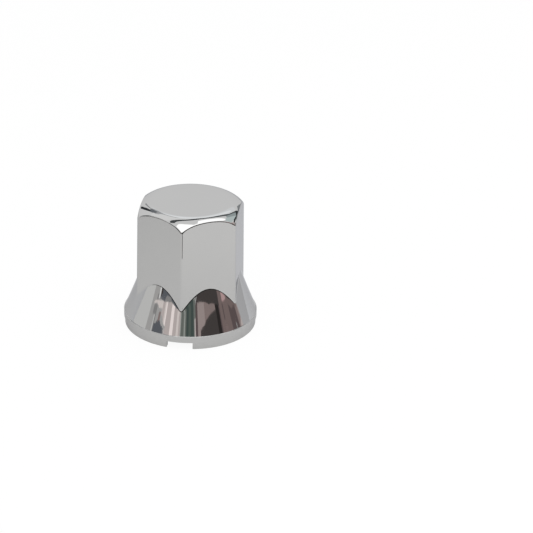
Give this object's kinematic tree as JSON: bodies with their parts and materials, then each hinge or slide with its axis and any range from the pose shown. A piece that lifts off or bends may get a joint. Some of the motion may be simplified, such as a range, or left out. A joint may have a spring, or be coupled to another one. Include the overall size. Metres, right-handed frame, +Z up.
{
  "type": "wheel nut cover cap",
  "caption": "Hexagonal push-on cover for a wheel nut, with a rounded crown, flared bell, round rim with lever notches and ribs inside a hollow socket.",
  "frame": {"origin": "centre of the rim's lower edge, on the wheel nut's axis, in the plane that the cover stands on", "axes": "+Z up along the nut's axis towards the crown, +X square to one flat of the hexagon, +Y through an upright edge and a notch"},
  "size_m": [0.0552, 0.0552, 0.054],
  "materials": {
    "chrome_plating": "bright chrome plating on moulded plastic"
  },
  "bodies": {
    "root": {"nut_cover": "chrome_plating"}
  },
  "joints": []
}
